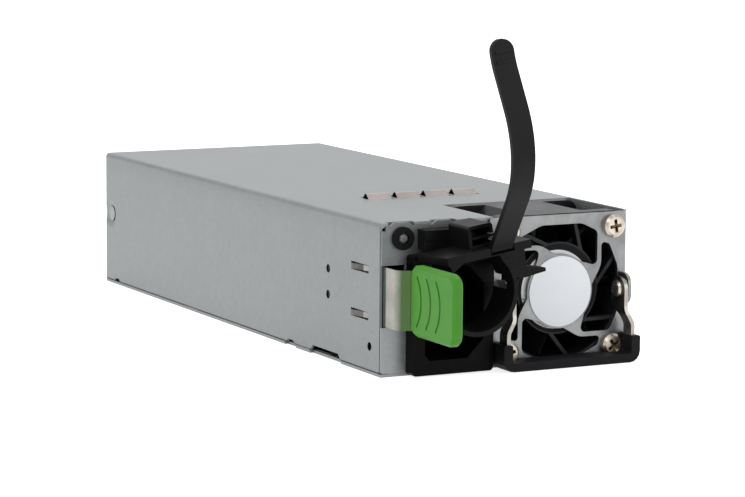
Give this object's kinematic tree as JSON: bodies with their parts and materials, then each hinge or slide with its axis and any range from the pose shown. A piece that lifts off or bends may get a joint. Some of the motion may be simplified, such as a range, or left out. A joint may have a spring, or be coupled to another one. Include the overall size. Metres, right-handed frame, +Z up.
{
  "type": "hot swap power supply",
  "caption": "Slim hot swap server power supply with fan, side latch, pull handle, turned inlet, cord retainer strap and a rear card edge.",
  "frame": {"origin": "centre of the sheet metal case's bottom face, where it rests on a table or slides in its bay", "axes": "+Z up, +Y towards the card edge that plugs into the server, -Y towards the fan and the handle, +X to the fan's side"},
  "size_m": [0.074, 0.2277, 0.0886],
  "materials": {
    "zinc_steel": "zinc plated sheet",
    "bright_steel": "nickel plated",
    "spring_steel": "spring steel",
    "black_steel": "black oxide",
    "black_plastic": "moulded, matt",
    "fan_plastic": "glass filled",
    "rubber_grip": "soft moulded",
    "green_plastic": "moulded green",
    "lens_plastic": "translucent",
    "white_label": "coated paper",
    "copper_spring": "beryllium copper",
    "pin_metal": "nickel plated",
    "gold_contact": "gold plated",
    "board_green": "solder mask on glass epoxy",
    "film": "insulation film",
    "can_sleeve": "shrink sleeve",
    "yellow_film": "tape and film",
    "ferrite": "sintered",
    "copper_wire": "enamelled copper",
    "heatsink": "extruded",
    "steel_core": "laminations",
    "fuse_ceramic": "tube with caps"
  },
  "bodies": {
    "chassis": {"case_cover": "zinc_steel", "case_tray": "zinc_steel", "front_panel": "zinc_steel", "rear_panel": "zinc_steel", "cover_screws": "bright_steel", "emi_spring_strip": "copper_spring", "fan_frame": "fan_plastic", "fan_hub_label": "white_label", "fan_bearings": "bright_steel", "fan_stator": "steel_core", "fan_guard": "bright_steel", "guard_label_disc": "white_label", "fan_screws": "bright_steel", "handle_rivets": "bright_steel", "inlet_bezel": "black_plastic", "inlet_socket": "black_plastic", "inlet_pins": "pin_metal", "led_ring": "black_plastic", "led_lens": "lens_plastic", "latch_rivets": "bright_steel", "retainer_anchor": "black_plastic", "retainer_clamp": "black_plastic", "main_board": "board_green", "edge_contacts": "gold_contact", "board_standoffs": "bright_steel", "board_screws": "bright_steel", "insulation_sheet": "film", "bulk_capacitor": "can_sleeve", "x_capacitors": "yellow_film", "line_chokes": "copper_wire", "fuse": "fuse_ceramic", "relay": "black_plastic", "pfc_choke": "yellow_film", "primary_heatsink": "heatsink", "power_transistors": "black_plastic", "transformer_core": "ferrite", "transformer_winding": "yellow_film", "secondary_heatsink": "heatsink", "output_capacitors": "can_sleeve", "control_board": "board_green", "control_chips": "black_plastic"},
    "fan_impeller": {"fan_rotor": "fan_plastic", "fan_magnet": "ferrite", "fan_shaft": "bright_steel"},
    "pull_handle": {"handle_bail": "black_steel", "handle_grip": "rubber_grip"},
    "side_latch": {"latch_spring": "spring_steel", "latch_tab": "green_plastic"},
    "cord_strap": {"retainer_strap": "black_plastic"},
    "release_pawl": {"retainer_pawl": "black_plastic"}
  },
  "joints": [
    {"name": "handle_swing", "type": "hinge", "parent": "chassis", "child": "pull_handle", "pos_m": [0.01595, -0.096, 0.0194], "axis": [-1, 0, 0], "range_deg": [0, 90]},
    {"name": "latch_flex", "type": "hinge", "parent": "chassis", "child": "side_latch", "pos_m": [-0.03555, -0.0621, 0.02], "axis": [0, 0, 1], "range_deg": [0, 3.5], "stiffness_Nm_per_rad": 1.2},
    {"name": "fan_spin", "type": "hinge", "parent": "chassis", "child": "fan_impeller", "pos_m": [0.01595, -0.0785, 0.02], "axis": [0, -1, 0], "continuous": true},
    {"name": "strap_swing", "type": "hinge", "parent": "chassis", "child": "cord_strap", "pos_m": [-0.01081, -0.10845, 0.03434], "axis": [0.989, 0, 0.1478], "range_deg": [-10, 35], "stiffness_Nm_per_rad": 0.02},
    {"name": "pawl_press", "type": "hinge", "parent": "chassis", "child": "release_pawl", "pos_m": [-0.01567, -0.0989, 0.0371], "axis": [0.989, 0, 0.1478], "range_deg": [0, 5], "stiffness_Nm_per_rad": 0.01}
  ]
}
